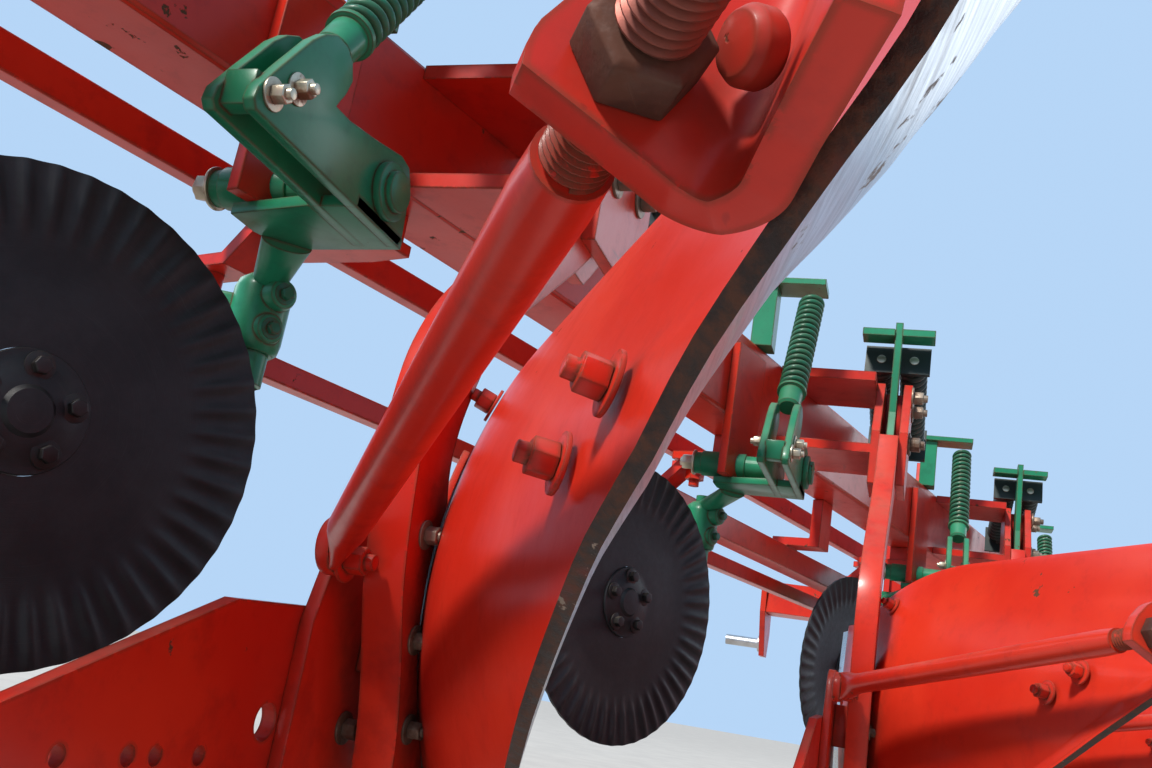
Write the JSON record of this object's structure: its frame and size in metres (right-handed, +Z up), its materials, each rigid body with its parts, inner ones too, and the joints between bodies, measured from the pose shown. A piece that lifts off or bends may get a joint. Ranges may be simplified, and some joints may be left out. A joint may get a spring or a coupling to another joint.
{
  "type": "mounted plough",
  "caption": "Mounted moldboard plough with staggered bodies under a slanting beam, sprung disc coulters, three-point headstock, depth wheel and parking stand.",
  "frame": {"origin": "on the ground under the middle of the plough's extent", "axes": "+X the way it travels, +Y its land side, +Z up"},
  "size_m": [5.1838, 2.2032, 1.27],
  "materials": {
    "red_paint": "gloss",
    "green_paint": "gloss",
    "moldboard": "gloss back, bare worn front",
    "share_steel": "worn",
    "disc_steel": "satin",
    "rusty_steel": "rusty",
    "pin_steel": "machined",
    "tyre": "matt",
    "rim_paint": "satin",
    "stand_steel": "satin"
  },
  "bodies": {
    "frame": {"main_beam": "red_paint", "brace_beam": "red_paint", "hangers": "red_paint", "tie_bars": "red_paint", "crank_arms": "red_paint", "cross_tube": "red_paint", "hitch_plates": "red_paint", "hitch_pins": "pin_steel", "mast": "red_paint", "mast_strut": "red_paint", "leg_brackets": "red_paint", "legs": "red_paint", "frogs": "red_paint", "moldboards": "moldboard", "shins": "share_steel", "shares": "share_steel", "landsides": "red_paint", "landside_strips": "share_steel", "stays": "red_paint", "stay_brackets": "red_paint", "stay_nuts": "rusty_steel", "reset_posts": "green_paint", "reset_plates": "disc_steel", "reset_springs": "disc_steel", "coulter_hangers": "green_paint", "coulter_plates": "green_paint", "coulter_tubes": "green_paint", "coulter_springs": "green_paint", "coulter_hooks": "green_paint", "coulter_clamps": "green_paint", "wheel_arm": "red_paint", "wheel_spindle": "red_paint", "stand_sleeve": "red_paint"},
    "coulter_arm_1": {"coulter_arm_1": "green_paint"},
    "coulter_disc_1": {"coulter_disc_1": "disc_steel", "coulter_hub_1": "disc_steel"},
    "coulter_arm_2": {"coulter_arm_2": "green_paint"},
    "coulter_disc_2": {"coulter_disc_2": "disc_steel", "coulter_hub_2": "disc_steel"},
    "coulter_arm_3": {"coulter_arm_3": "green_paint"},
    "coulter_disc_3": {"coulter_disc_3": "disc_steel", "coulter_hub_3": "disc_steel"},
    "coulter_arm_4": {"coulter_arm_4": "green_paint"},
    "coulter_disc_4": {"coulter_disc_4": "disc_steel", "coulter_hub_4": "disc_steel"},
    "depth_wheel": {"wheel_rim": "rim_paint", "wheel_tyre": "tyre"},
    "parking_stand": {"stand_leg": "stand_steel"}
  },
  "joints": [
    {"name": "coulter_swivel_1", "type": "hinge", "parent": "frame", "child": "coulter_arm_1", "pos_m": [-0.77343, 0.25599, 0.56], "axis": [0, 0, 1], "range_deg": [0, 50]},
    {"name": "coulter_spin_1", "type": "hinge", "parent": "coulter_arm_1", "child": "coulter_disc_1", "pos_m": [-0.97444, 0.32656, 0.404], "axis": [0.4226, 0.9063, 0], "continuous": true},
    {"name": "coulter_swivel_2", "type": "hinge", "parent": "frame", "child": "coulter_arm_2", "pos_m": [0.25657, -0.049, 0.56], "axis": [0, 0, 1], "range_deg": [0, 50]},
    {"name": "coulter_spin_2", "type": "hinge", "parent": "coulter_arm_2", "child": "coulter_disc_2", "pos_m": [0.05556, 0.02156, 0.404], "axis": [0.4226, 0.9063, 0], "continuous": true},
    {"name": "coulter_swivel_3", "type": "hinge", "parent": "frame", "child": "coulter_arm_3", "pos_m": [1.28657, -0.35401, 0.56], "axis": [0, 0, 1], "range_deg": [0, 50]},
    {"name": "coulter_spin_3", "type": "hinge", "parent": "coulter_arm_3", "child": "coulter_disc_3", "pos_m": [1.08556, -0.28344, 0.404], "axis": [0.4226, 0.9063, 0], "continuous": true},
    {"name": "coulter_swivel_4", "type": "hinge", "parent": "frame", "child": "coulter_arm_4", "pos_m": [2.31657, -0.659, 0.56], "axis": [0, 0, 1], "range_deg": [0, 50]},
    {"name": "coulter_spin_4", "type": "hinge", "parent": "coulter_arm_4", "child": "coulter_disc_4", "pos_m": [2.11556, -0.58844, 0.404], "axis": [0.4226, 0.9063, 0], "continuous": true},
    {"name": "wheel_spin", "type": "hinge", "parent": "frame", "child": "depth_wheel", "pos_m": [-1.67174, 1.01157, 0.29], "axis": [0, 1, 0], "continuous": true},
    {"name": "stand_lift", "type": "slide", "parent": "frame", "child": "parking_stand", "axis": [0, 0, 1], "range_m": [0, 0.35]}
  ]
}
